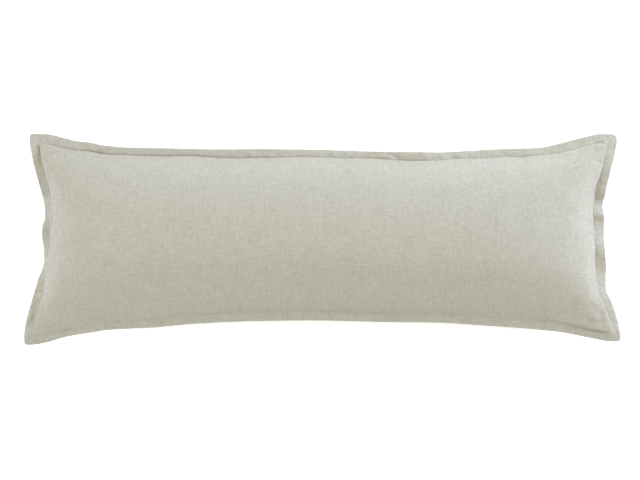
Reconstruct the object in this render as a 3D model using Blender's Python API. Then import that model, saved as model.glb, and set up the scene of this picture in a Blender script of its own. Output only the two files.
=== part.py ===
"""A long, narrow filled linen pillow with a flat doubled border, lying on its back.

The origin is on the surface that it rests on, under its middle. X runs along the pillow, Y across it
and Z up out of its face. Sizes in the tables are in millimetres and become metres through MM.
"""

import math
from functools import lru_cache
from typing import NamedTuple

import bmesh
import bpy
import numpy as np

MM = 0.001

# Outer corners of the border, and the round on them
CORNER_X = 503 * MM
CORNER_Y = 180.5 * MM
CORNER_ROUND = 7 * MM

# Heights of the filled body
SEAM_Z = 70 * MM
SEAM_DROOP = 8 * MM  # how far the seam hangs at the four corners
CROWN = 79 * MM  # rise of the face over the seam
UNDERSIDE = 94 * MM  # fall of the back under the seam, had nothing pressed it flat
REST_BLEND = 9 * MM  # half the height over which the back eases onto the surface
SEAM_ANGLE = math.radians(68)  # slope of the cloth where it leaves a long seam
END_POWER = 5.0  # the higher, the longer the crown stays full towards the ends
END_ROUND = 0.62

# The border, and the gap that parts it from the body
CLOTH = 2.4 * MM
GAP = 0.3 * MM

# Steps of the surface. The border shares the body's steps along the seam, each split in two
STEPS_LONG = 60
STEPS_WIDE = 24
CROWDING = 0.6  # share of the steps' spacing that tightens towards the seam
BORDER_SPLIT = 2
BORDER_STEPS_ACROSS = 2

LINEN = (0.50, 0.48, 0.41)
LINEN_DOUBLED = (0.46, 0.44, 0.37)
LINEN_ROUGHNESS = 0.9


class Station(NamedTuple):
    """How far the border's outer edge is drawn in from the line between two corners."""

    along: float
    drawn_in: float


class Side(NamedTuple):
    """One side of the border: its drawn-in edge, how wide it lies and how far its edge hangs."""

    stations: tuple
    lies_wide: float
    hangs: float


class Fold(NamedTuple):
    """A wave in the border, largest at its outer edge and gone at the seam."""

    side: str
    place: float
    half_width: float
    out: float
    lift: float


class Crease(NamedTuple):
    """A soft trough in the face, or a ridge where its depth is below zero."""

    start_x: float
    start_y: float
    end_x: float
    end_y: float
    half_width: float
    depth: float


SIDES = {
    "top": Side(
        (
            Station(-503, 0),
            Station(-472, 1.5),
            Station(-418, 13.6),
            Station(-366, 22),
            Station(-298, 25),
            Station(0, 27.6),
            Station(165, 32.4),
            Station(277, 28.3),
            Station(373, 24),
            Station(424, 12),
            Station(470, 1.5),
            Station(503, 0),
        ),
        lies_wide=15.2,
        hangs=4,
    ),
    "bottom": Side(
        (
            Station(-503, 0),
            Station(-478, 1.2),
            Station(-432, 13.3),
            Station(-382, 22.8),
            Station(-330, 27),
            Station(-200, 36.5),
            Station(-35, 41),
            Station(130, 38.3),
            Station(273, 31.8),
            Station(398, 21.4),
            Station(449, 12),
            Station(503, 4.5),
        ),
        lies_wide=14.6,
        hangs=6,
    ),
    "left": Side(
        (
            Station(-180, 0),
            Station(-152, 0),
            Station(-110, 9.5),
            Station(-62, 23.5),
            Station(-28, 30),
            Station(10, 31.2),
            Station(40, 30),
            Station(96, 18.2),
            Station(137, 6.7),
            Station(165, 1.5),
            Station(180, 1),
        ),
        lies_wide=13,
        hangs=7,
    ),
    "right": Side(
        (
            Station(-180, 0),
            Station(-152, 2),
            Station(-110, 13.5),
            Station(-80, 24),
            Station(-38, 22),
            Station(5, 25.3),
            Station(34, 23.4),
            Station(58, 26),
            Station(96, 15.8),
            Station(137, 4.9),
            Station(160, 0),
            Station(180, 0),
        ),
        lies_wide=15.8,
        hangs=2,
    ),
}

FOLDS = (
    Fold("right", 82, 16, 0, 2.5),
    Fold("right", 62, 14, 0, -2.5),
    Fold("right", 42, 14, 0, 2.5),
    Fold("right", 24, 14, 0, -2),
    Fold("right", -2, 20, 0, 2.5),
    Fold("right", -40, 22, 0, -2.5),
    Fold("right", -78, 20, 0, 2),
    Fold("left", 72, 24, 0, 2),
    Fold("left", 40, 18, 0, -2),
    Fold("left", 12, 26, 6, 3.5),
    Fold("left", -26, 22, 0, -2),
    Fold("left", -84, 30, 0, 2.5),
    Fold("top", -387, 14, -1, 3),
    Fold("top", -300, 55, 0, -2),
    Fold("top", -164, 28, 0, 2.5),
    Fold("top", -40, 70, 0, -1.5),
    Fold("top", 82, 20, -0.5, 3),
    Fold("top", 116, 20, 0.5, -2.5),
    Fold("top", 262, 46, 0, 2),
    Fold("top", 365, 40, 0, -2),
    Fold("bottom", -360, 50, 0, 2.5),
    Fold("bottom", -205, 60, 0, -2),
    Fold("bottom", -70, 48, 0, 2),
    Fold("bottom", 96, 62, 0, -2),
    Fold("bottom", 240, 50, 0, 2.5),
    Fold("bottom", 372, 34, 0, -2),
    Fold("bottom", 458, 14, -0.5, 2.5),
)

CREASES = (
    Crease(-478, 152, -402, 118, 13, 3.5),
    Crease(-462, 158, -430, 96, 11, -2),
    Crease(480, 152, 398, 120, 14, 3.5),
    Crease(484, -146, 436, -96, 12, 4),
    Crease(470, -152, 388, -128, 12, 3.5),
    Crease(-480, -152, -408, -112, 13, 4),
    Crease(-466, -160, -380, -140, 11, 3),
    Crease(-160, 146, -148, 96, 12, 1.5),
    Crease(104, 142, 122, 90, 13, 1.5),
)

# Stations of a long side are read by x, those of a short side by y
LONG_SIDES = ("bottom", "top")
SHORT_SIDES = ("left", "right")


def clear_scene():
    for old in list(bpy.data.objects):
        bpy.data.objects.remove(old)


def ease(share):
    """Zero to one with no slope at either end."""
    share = min(max(share, 0.0), 1.0)
    return share * share * (3 - 2 * share)


def drawn_in(side, place):
    """Depth of a side's outer edge at a place, on a smooth curve that never overshoots its stations."""
    along = np.array([station.along for station in SIDES[side].stations]) * MM
    depth = np.array([station.drawn_in for station in SIDES[side].stations]) * MM
    slope = np.diff(depth) / np.diff(along)
    bend = np.zeros(len(along))
    for k in range(1, len(along) - 1):
        before, after = slope[k - 1], slope[k]
        if before * after > 0:
            bend[k] = 2 * before * after / (before + after)
    place = min(max(place, along[0]), along[-1])
    k = min(int(np.searchsorted(along, place, side="right")) - 1, len(slope) - 1)
    width = along[k + 1] - along[k]
    t = (place - along[k]) / width
    return (
        depth[k] * (1 + 2 * t) * (1 - t) ** 2
        + bend[k] * width * t * (1 - t) ** 2
        + depth[k + 1] * t * t * (3 - 2 * t)
        + bend[k + 1] * width * t * t * (t - 1)
    )


def side_point(side, place, inset):
    """A point on a side at a place along it, so far in from its outer edge."""
    depth = drawn_in(side, place) + inset
    if side == "top":
        return np.array((place, CORNER_Y - depth))
    if side == "bottom":
        return np.array((place, depth - CORNER_Y))
    if side == "left":
        return np.array((depth - CORNER_X, place))
    return np.array((CORNER_X - depth, place))


def inset_of(side, line):
    """How far in from the outer edge a line runs: that edge, the border's seam or the body's."""
    if line == "edge":
        return 0.0
    return SIDES[side].lies_wide * MM + (GAP if line == "body seam" else 0.0)


@lru_cache(maxsize=None)
def corner(long_side, short_side, line):
    """Where a line turns the corner between two sides."""
    x = math.copysign(CORNER_X, -1 if short_side == "left" else 1)
    y = math.copysign(CORNER_Y, -1 if long_side == "bottom" else 1)
    for _ in range(3):
        x, y = (
            side_point(short_side, y, inset_of(short_side, line))[0],
            side_point(long_side, x, inset_of(long_side, line))[1],
        )
    return x, y


def side_ends(side, line):
    """The places along a side where a line starts and ends, from left to right or from bottom to top."""
    if side in LONG_SIDES:
        return corner(side, "left", line)[0], corner(side, "right", line)[0]
    return corner("bottom", side, line)[1], corner("top", side, line)[1]


def line_point(side, line, share):
    """A point of a line, a share of the way along a side."""
    start, end = side_ends(side, line)
    return side_point(side, start + (end - start) * share, inset_of(side, line))


def steps_of(side):
    """The steps along a side as shares from zero to one, closer together towards both ends."""
    even = np.linspace(-1, 1, (STEPS_LONG if side in LONG_SIDES else STEPS_WIDE) + 1)
    return 0.5 + 0.5 * ((1 - CROWDING) * even + CROWDING * np.sin(0.5 * math.pi * even))


def seam_height(point):
    """Height of the seam's middle: level, but for the corners, which hang a little."""
    out_x = abs(point[0]) / CORNER_X
    out_y = abs(point[1]) / CORNER_Y
    return SEAM_Z - SEAM_DROOP * (out_x * out_y) ** 4


def swell(a, b):
    """Share of the full crown at a, along, and b, across, each from minus one to one."""
    edge = math.cos(SEAM_ANGLE)
    across = (math.sqrt(1 - (math.sin(SEAM_ANGLE) * b) ** 2) - edge) / (1 - edge)
    along = max(1 - abs(a) ** END_POWER, 0.0) ** END_ROUND
    return across * along


def crease_depth(point):
    """How far the soft creases lower the face at a point."""
    total = 0.0
    for crease in CREASES:
        start = np.array((crease.start_x, crease.start_y)) * MM
        run = np.array((crease.end_x, crease.end_y)) * MM - start
        share = np.dot(point - start, run) / np.dot(run, run)
        away = np.linalg.norm(point - start - run * min(max(share, 0.0), 1.0))
        fade = ease(1 - share) if share > 0 else 1.0
        total += crease.depth * MM * fade * ease(1 - away / (crease.half_width * MM))
    return total


def body_plan(along, across):
    """Where the body's points lie in plan, blended from its four seam sides."""
    bottom, top = ([line_point(side, "body seam", s) for s in along] for side in LONG_SIDES)
    left, right = ([line_point(side, "body seam", t) for t in across] for side in SHORT_SIDES)
    plan = []
    for i, s in enumerate(along):
        row = []
        for j, t in enumerate(across):
            sides = (1 - t) * bottom[i] + t * top[i] + (1 - s) * left[j] + s * right[j]
            near = (1 - s) * bottom[0] + s * bottom[-1]
            far = (1 - s) * top[0] + s * top[-1]
            row.append(sides - (1 - t) * near - t * far)
        plan.append(row)
    return plan


def face_height(point, a, b):
    """Height of the face at a point."""
    rise = swell(a, b)
    return seam_height(point) + CLOTH / 2 + CROWN * rise - crease_depth(point) * min(1.0, 3 * rise)


def back_height(point, a, b):
    """Height of the back at a point, eased onto the surface under it."""
    height = seam_height(point) - CLOTH / 2 - UNDERSIDE * swell(a, b)
    if height >= REST_BLEND:
        return height
    if height <= -REST_BLEND:
        return 0.0
    return (height + REST_BLEND) ** 2 / (4 * REST_BLEND)


def add_panel(mesh, plan, shares, height):
    """One panel of the body as a grid of faces. It returns the edges of its rim."""
    rows = []
    for s, row in zip(shares[0], plan):
        rows.append(
            [
                mesh.verts.new((point[0], point[1], height(point, 2 * s - 1, 2 * t - 1)))
                for t, point in zip(shares[1], row)
            ]
        )
    faces = []
    for near, far in zip(rows, rows[1:]):
        for k in range(len(near) - 1):
            faces.append(mesh.faces.new((near[k], far[k], far[k + 1], near[k + 1])))
    return [edge for face in faces for edge in face.edges if len(edge.link_faces) == 1]


def finish_object(name, mesh, colour):
    """Closes a mesh's making: normals out, smooth shading, an object and its material."""
    bmesh.ops.recalc_face_normals(mesh, faces=mesh.faces)
    data = bpy.data.meshes.new(name)
    mesh.to_mesh(data)
    mesh.free()
    data.shade_smooth()
    made = bpy.data.objects.new(name, data)
    bpy.context.scene.collection.objects.link(made)
    material = bpy.data.materials.new(name + "_linen")
    material.use_nodes = True
    shader = material.node_tree.nodes["Principled BSDF"]
    shader.inputs["Base Color"].default_value = (*colour, 1)
    shader.inputs["Roughness"].default_value = LINEN_ROUGHNESS
    shader.inputs["Metallic"].default_value = 0
    data.materials.append(material)
    return made


def make_body():
    """The filled body: a face panel and a back panel, joined by the narrow rim of the seam."""
    shares = (steps_of("bottom"), steps_of("left"))
    plan = body_plan(*shares)
    mesh = bmesh.new()
    rim = add_panel(mesh, plan, shares, face_height)
    rim += add_panel(mesh, plan, shares, back_height)
    bmesh.ops.bridge_loops(mesh, edges=rim)
    return finish_object("cushion_body", mesh, LINEN)


def fold_shift(side, place):
    """How far the folds move the border's outer edge at a place: outwards, and up."""
    out = lift = 0.0
    for fold in FOLDS:
        if fold.side == side:
            share = ease(1 - abs(place - fold.place * MM) / (fold.half_width * MM))
            out += fold.out * MM * share
            lift += fold.lift * MM * share
    return out, lift


def outer_point(side, share):
    """A point of the border's outer edge, with its corners rounded, and its height."""
    start, end = side_ends(side, "edge")
    length = end - start
    near = min(share, 1 - share) * length
    corner_step = CORNER_ROUND * (1 - math.sqrt(0.5))
    near = max(near, corner_step)
    place = start + near if share < 0.5 else end - near
    round_in = 0.0
    if near < CORNER_ROUND:
        round_in = CORNER_ROUND - math.sqrt(CORNER_ROUND**2 - (CORNER_ROUND - near) ** 2)
    out, lift = fold_shift(side, place)
    point = side_point(side, place, round_in - out)
    hang = SIDES[side].hangs * MM * ease(near / (4 * CORNER_ROUND))
    return point, seam_height(point) - hang + lift


def border_column(side, near, far, part):
    """The points across the border's upper face, from the seam outwards, part of the way from one
    step to the next. On the seam they lie on the straight line between the two steps, as the body does.
    """
    start = line_point(side, "border seam", near)
    inner = start + (line_point(side, "border seam", far) - start) * part
    outer, outer_height = outer_point(side, near + (far - near) * part)
    inner_height = seam_height(inner)
    column = []
    for k in range(BORDER_STEPS_ACROSS + 1):
        part = k / BORDER_STEPS_ACROSS
        point = inner + (outer - inner) * part
        height = inner_height + (outer_height - inner_height) * part
        column.append((point[0], point[1], height + CLOTH / 2))
    return column


def make_border():
    """The flat doubled border: a ring of cloth all round the seam, given its thickness."""
    columns = []
    for side, backwards in (("bottom", False), ("right", False), ("top", True), ("left", True)):
        shares = steps_of(side)
        if backwards:
            shares = shares[::-1]
        for near, far in zip(shares, shares[1:]):
            for k in range(BORDER_SPLIT):
                columns.append(border_column(side, near, far, k / BORDER_SPLIT))
    mesh = bmesh.new()
    rows = [[mesh.verts.new(point) for point in column] for column in columns]
    for near, far in zip(rows, rows[1:] + rows[:1]):
        for k in range(BORDER_STEPS_ACROSS):
            mesh.faces.new((near[k], near[k + 1], far[k + 1], far[k]))
    lower = bmesh.ops.extrude_face_region(mesh, geom=mesh.faces[:])["geom"]
    lower_points = [item for item in lower if isinstance(item, bmesh.types.BMVert)]
    bmesh.ops.translate(mesh, verts=lower_points, vec=(0, 0, -CLOTH))
    return finish_object("flange", mesh, LINEN_DOUBLED)


clear_scene()
make_body()
make_border()
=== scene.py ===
"""A long lumbar pillow in slubby linen, lying on its back on a pale floor.

The cover is a front and a back panel, filled, and settled as cloth round the filling. A flat border
of doubled linen stands out past the seam, and a line of topstitching runs along it. X runs along the
pillow, Y across it and Z up out of its face. The tables give millimetres, which MM makes metres.
"""

import logging
import math
from collections.abc import Callable
from dataclasses import dataclass, field
from enum import Enum

import bpy
import numpy as np
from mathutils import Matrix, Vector


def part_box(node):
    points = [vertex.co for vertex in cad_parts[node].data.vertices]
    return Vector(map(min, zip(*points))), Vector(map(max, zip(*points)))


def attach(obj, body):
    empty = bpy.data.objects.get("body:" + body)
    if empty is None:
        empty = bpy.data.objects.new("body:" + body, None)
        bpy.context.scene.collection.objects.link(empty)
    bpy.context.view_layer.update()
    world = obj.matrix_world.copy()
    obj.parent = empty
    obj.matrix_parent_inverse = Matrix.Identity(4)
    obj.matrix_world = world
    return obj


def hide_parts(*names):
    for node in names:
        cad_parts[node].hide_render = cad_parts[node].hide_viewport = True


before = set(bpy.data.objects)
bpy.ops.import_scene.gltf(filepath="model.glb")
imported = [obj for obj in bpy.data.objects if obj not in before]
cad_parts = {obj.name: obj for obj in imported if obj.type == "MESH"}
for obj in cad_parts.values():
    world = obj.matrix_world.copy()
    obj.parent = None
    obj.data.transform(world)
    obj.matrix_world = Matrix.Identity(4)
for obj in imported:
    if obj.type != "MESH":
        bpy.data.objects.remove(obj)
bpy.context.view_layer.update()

MM = 0.001
WEAVE_MAP = "weave"
LOG = logging.getLogger("lumbar_pillow")

Array = np.ndarray
Pair = tuple[float, float]
Triple = tuple[float, float, float]
Stations = tuple[Pair, ...]
Socket = bpy.types.NodeSocket
Feed = Socket | float | tuple[float, ...]

# Half the width from corner to corner, the seam's height, and how far the crown stays under the top
HALF_WIDTH = 180.5 * MM
SEAM_Z = 70 * MM
CROWN_SPARE = 1.2 * MM

# How far along the cloth the weave of the back, and of the border's lower layer, is read
BACK_CLOTH = 2.0

# Steps that settle where two sides meet, and points that a curve's length is measured on
MEETING_STEPS = 6
FINE_POINTS = 2001


class Side(Enum):
    """The four sides, in the order in which the border runs round them."""

    BOTTOM = "bottom"
    RIGHT = "right"
    TOP = "top"
    LEFT = "left"

    @property
    def is_long(self) -> bool:
        """Whether the side runs along X."""
        return self in (Side.BOTTOM, Side.TOP)

    @property
    def neighbours(self) -> tuple["Side", "Side"]:
        """The sides that meet it at its left or lower end, and at its right or upper end."""
        return (Side.LEFT, Side.RIGHT) if self.is_long else (Side.BOTTOM, Side.TOP)


class Face(Enum):
    """The two faces of the pillow. The value is the way that each one faces along Z."""

    FRONT = 1
    BACK = -1


def ease(share: Array) -> Array:
    """Zero to one with no slope at either end."""
    share = np.clip(share, 0.0, 1.0)
    return share * share * (3 - 2 * share)


def read_along(stations: Stations, places: Array) -> Array:
    """Reads a table on a smooth curve that never overshoots it.

    Args:
        stations: Places and values there, in millimetres.
        places: Where to read it, in metres.

    Returns:
        The value at each place, in metres.
    """
    along, value = np.array(stations).T * MM
    width = np.diff(along)
    slope = np.diff(value) / width
    bend = np.zeros(len(along))
    before, after = slope[:-1], slope[1:]
    turning = before * after > 0
    bend[1:-1][turning] = (2 * before * after / (before + after + (before + after == 0)))[turning]
    places = np.clip(places, along[0], along[-1])
    k = np.clip(np.searchsorted(along, places, side="right") - 1, 0, len(slope) - 1)
    t = (places - along[k]) / width[k]
    return (
        value[k] * (1 + 2 * t) * (1 - t) ** 2
        + bend[k] * width[k] * t * (1 - t) ** 2
        + value[k + 1] * t * t * (3 - 2 * t)
        + bend[k + 1] * width[k] * t * t * (t - 1)
    )


@dataclass(frozen=True)
class Hem:
    """How one side of the border lies: tables of places along it and values there, in millimetres.

    Args:
        drawn_in: How far its outer edge is drawn in.
        width: How far in from that edge the seam lies.
        lift: How high the edge lies over the seam, below zero where it hangs.
        sinks: How deep the border is sunk beside the seam.
    """

    drawn_in: Stations
    width: Stations
    lift: Stations
    sinks: float


@dataclass(frozen=True)
class Crease:
    """A soft trough in the cloth, or a ridge where its depth is below zero, in millimetres.

    Args:
        start: Where in plan it is deepest.
        end: Where it has faded out.
        half_width: Half its width.
        depth: Its depth at its start.
    """

    start: Pair
    end: Pair
    half_width: float
    depth: float


HEMS = {
    Side.TOP: Hem(
        drawn_in=(
            (-492, -1), (-472, 0), (-446, 6), (-418, 13), (-400, 15), (-377, 20.5), (-345, 24),
            (-290, 26), (-190, 28), (-40, 27.5), (48, 29.5), (108, 32.5), (185, 33), (240, 30.5),
            (290, 27.5), (365, 25), (407, 16.5), (459, 3), (478, -0.5),
        ),
        width=(
            (-481, 19), (-456, 20.5), (-400, 18), (-330, 15), (-277, 15), (-226, 13.5), (-166, 17),
            (-90, 16.5), (-38, 15.5), (30, 16.5), (94, 14), (150, 16.5), (215, 15), (280, 17),
            (309, 15.5), (338, 17), (365, 15.5), (421, 19), (481, 19),
        ),
        lift=(
            (-494, -1), (-460, -2), (-410, -2.5), (-370, 2.5), (-340, 0.5), (-308, 3.5), (-225, 3.5),
            (-155, 2), (-108, 3.5), (-75, 1), (-30, -3.5), (61, -4), (100, 3), (154, 3.5), (190, 0),
            (231, -4), (290, -2), (340, 0), (385, -3.5), (430, 0), (493, -1),
        ),
        sinks=0.4,
    ),
    Side.BOTTOM: Hem(
        drawn_in=(
            (-496, -0.5), (-470, 3.5), (-436, 13), (-399, 19.5), (-355, 25.5), (-291, 28.5), (-215, 35),
            (-130, 39), (-20, 40.5), (60, 39), (98, 38), (191, 37), (258, 33), (343, 27), (402, 21),
            (452, 11.5), (493, 5),
        ),
        width=(
            (-483, 15), (-440, 13.5), (-390, 14), (-274, 15), (-200, 15.5), (100, 16), (267, 16),
            (350, 17), (430, 17.5), (483, 16.5),
        ),
        lift=(
            (-496, -1), (-472, -6), (-449, -7), (-270, -7), (-213, -4), (90, -4), (165, -7), (470, -7),
            (496, -1),
        ),
        sinks=0.0,
    ),
    Side.LEFT: Hem(
        drawn_in=(
            (-169, -2), (-155, -2), (-142, 0.5), (-126, 4.5), (-111, 8), (-82, 16), (-70, 19),
            (-58, 24), (-35, 29.5), (-20, 29), (8, 24.5), (18, 24.5), (37, 28.5), (58, 27), (82, 21.5),
            (113, 12.5), (148, 4.5), (172, 0),
        ),
        width=(
            (-160, 14.5), (-145, 18.5), (-106, 19.5), (-75, 17), (-60, 13), (-42, 7), (-28, 9),
            (-4, 15.5), (13, 18.5), (27, 18.5), (56, 16), (82, 18.5), (116, 18.5), (134, 16.5),
            (158, 17.5),
        ),
        lift=(
            (-167, -1), (-152, -5.5), (-134, -3.5), (-110, -6.5), (-70, -9), (-52, -10.5), (-14, -6.5),
            (6, -6.5), (17, -7.5), (40, -12), (62, -12), (78, -5), (95, -4), (115, -4), (130, 1.5),
            (150, 3), (172, -1),
        ),
        sinks=0.3,
    ),
    Side.RIGHT: Hem(
        drawn_in=(
            (-167, -1), (-155, 0), (-140, 3), (-109, 12.5), (-86, 21.5), (-55, 21), (-24, 24),
            (3, 23.5), (30, 23), (44, 25), (78, 21.5), (106, 14.5), (123, 9.5), (141, 3.5), (156, -0.5),
            (168, -2.5),
        ),
        width=(
            (-152, 15.5), (-131, 18), (-98, 18.5), (-86, 17), (-70, 20), (-52, 21), (-21, 18), (5, 19),
            (24, 21.5), (50, 19), (91, 19), (108, 17), (125, 17), (142, 19.5), (160, 19),
        ),
        lift=(
            (-167, -1), (-147, -5.5), (-106, -6), (-86, -9.5), (-65, -9.5), (-45, -1), (-24, 4.5),
            (-4, -4), (6, -8), (27, -5.5), (37, 3.5), (48, -3.5), (58, -8.5), (78, 7.5), (110, 7.5),
            (130, 1), (161, -3), (172, -1),
        ),
        sinks=0.3,
    ),
}

CORNER_ROUNDS = {
    frozenset({Side.LEFT, Side.TOP}): 4 * MM,
    frozenset({Side.TOP, Side.RIGHT}): 9 * MM,
    frozenset({Side.RIGHT, Side.BOTTOM}): 4.5 * MM,
    frozenset({Side.BOTTOM, Side.LEFT}): 5 * MM,
}

CREASES = (
    Crease((-478, 152), (-402, 118), 13, 3.5),
    Crease((-462, 158), (-430, 96), 11, -2),
    Crease((480, 152), (398, 120), 14, 3.5),
    Crease((484, -146), (436, -96), 14, 3),
    Crease((470, -152), (388, -128), 14, 2.2),
    Crease((-480, -152), (-408, -112), 13, 4),
    Crease((-466, -160), (-380, -140), 11, 3),
    Crease((-160, 146), (-148, 96), 12, 1.5),
    Crease((104, 142), (122, 90), 13, 1.5),
)

BORDER_CREASES = (
    Crease((-484, 176), (-491, 158), 3, -1.4),
    Crease((-490, 176), (-496, 160), 3, 1.0),
    Crease((-485, 158), (-476, 128), 5, 2.2),
    Crease((480, -159), (395, -150), 5, 3.4),
    Crease((-440, -157), (-386, -152), 7.5, 3.4),
    Crease((490, -150), (476, -108), 3.2, 1.3),
    Crease((465, 67), (477, 118), 4, 2.2),
    Crease((127, 140), (94, 149), 4, 3.4),
    Crease((122, 134), (86, 142), 4, -1.8),
    Crease((479, 165), (458, 161), 4.2, 2.4),
    Crease((-378, 146), (-432, 153), 4, 2.0),
    Crease((-464, 15), (-474, 8), 5.5, 2.2),
    Crease((-489, -143), (-481, -102), 6.5, 1.8),
    Crease((-498, -163), (-474, -65), 2.8, 0.7),
    Crease((-492, -157), (-474, -75), 2.8, -0.5),
    Crease((496, -160), (480, -99), 2.8, 1.1),
)


def crease_depth(creases: tuple[Crease, ...], points: Array) -> Array:
    """How far soft creases lower a surface.

    Args:
        creases: The creases, each one fading from its start to its end.
        points: Points in plan.

    Returns:
        The depth at each point.
    """
    total = np.zeros(points.shape[:-1])
    for crease in creases:
        start = np.array(crease.start) * MM
        run = np.array(crease.end) * MM - start
        share = ((points - start) @ run) / (run @ run)
        away = np.linalg.norm(points - start - np.clip(share, 0, 1)[..., None] * run, axis=-1)
        fade = np.where(share > 0, ease(1 - share), 1.0)
        total += crease.depth * MM * fade * ease(1 - away / (crease.half_width * MM))
    return total


@dataclass(frozen=True)
class Unevenness:
    """A smooth, seeded unevenness along a line: a few waves of about one length.

    Args:
        seed: What the waves' lengths and starts are drawn from.
        length: The middle wave length, in metres.
        height: The rough height of the whole, in metres.
        waves: How many waves it has.
        spread: The shortest and the longest wave, as shares of the middle one.
    """

    seed: int
    length: float
    height: float
    waves: int = 7
    spread: Pair = (0.6, 1.7)

    def at(self, place: Array) -> Array:
        """Reads the unevenness.

        Args:
            place: Places along the line.

        Returns:
            The height at each.
        """
        draw = np.random.default_rng(self.seed)
        total = np.zeros_like(np.asarray(place, float))
        for _ in range(self.waves):
            length = self.length * draw.uniform(*self.spread)
            start = draw.uniform(0, 2 * math.pi)
            total = total + np.sin(2 * math.pi * place / length + start)
        return total * self.height / math.sqrt(self.waves)


@dataclass
class Outline:
    """The pillow's outline in plan: the border's outer edge, and the seam inside it.

    Args:
        corner: Half the length and half the width, from corner to corner.
        seam_z: Height of the seam's middle.
        droop: How far the seam hangs at the corners.
        hems: How the border lies along each side.
    """

    corner: Pair
    seam_z: float
    droop: float = 8 * MM
    hems: dict[Side, Hem] = field(default_factory=lambda: HEMS)

    def drawn_in(self, side: Side, places: Array) -> Array:
        """How far a side's outer edge is drawn in at places along it."""
        return read_along(self.hems[side].drawn_in, places)

    def width(self, side: Side, places: Array) -> Array:
        """How far in from a side's outer edge the seam lies at places along it."""
        return read_along(self.hems[side].width, places)

    def plan(self, side: Side, places: Array, inset: Array | float) -> Array:
        """Points in plan along a side.

        Args:
            side: The side of the pillow.
            places: Places along it.
            inset: How far in from its outer edge the points lie.

        Returns:
            The points.
        """
        places = np.asarray(places, float)
        depth = self.drawn_in(side, places) + inset
        if side is Side.TOP:
            return np.stack([places, self.corner[1] - depth], -1)
        if side is Side.BOTTOM:
            return np.stack([places, depth - self.corner[1]], -1)
        if side is Side.LEFT:
            return np.stack([depth - self.corner[0], places], -1)
        return np.stack([self.corner[0] - depth, places], -1)

    def ends(self, side: Side, on_seam: bool) -> Pair:
        """Where a side starts and ends, on its outer edge or on the seam.

        Args:
            side: The side of the pillow.
            on_seam: Whether the line is the seam, and not the outer edge.

        Returns:
            The places along the side of its two corners.
        """
        axis = 0 if side.is_long else 1
        found = []
        for neighbour, sign in zip(side.neighbours, (-1, 1)):
            place = sign * self.corner[axis]
            across = self.corner[1 - axis] * (1 if side in (Side.TOP, Side.RIGHT) else -1)
            for _ in range(MEETING_STEPS):
                beside = self.width(neighbour, across) if on_seam else 0.0
                here = self.width(side, place) if on_seam else 0.0
                place, across = (
                    self.plan(neighbour, across, beside)[axis],
                    self.plan(side, place, here)[1 - axis],
                )
            found.append(float(place))
        return found[0], found[1]

    def seam(self, side: Side, shares: Array) -> Array:
        """Points of the seam in plan.

        Args:
            side: The side of the pillow.
            shares: Shares of the way along it.

        Returns:
            The points.
        """
        start, end = self.ends(side, on_seam=True)
        places = start + (end - start) * shares
        return self.plan(side, places, self.width(side, places))

    def seam_height(self, points: Array) -> Array:
        """Height of the seam's middle at points in plan: level, but for the hanging corners."""
        out = np.abs(points[..., 0] / self.corner[0] * points[..., 1] / self.corner[1])
        return self.seam_z - self.droop * out**4


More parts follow.
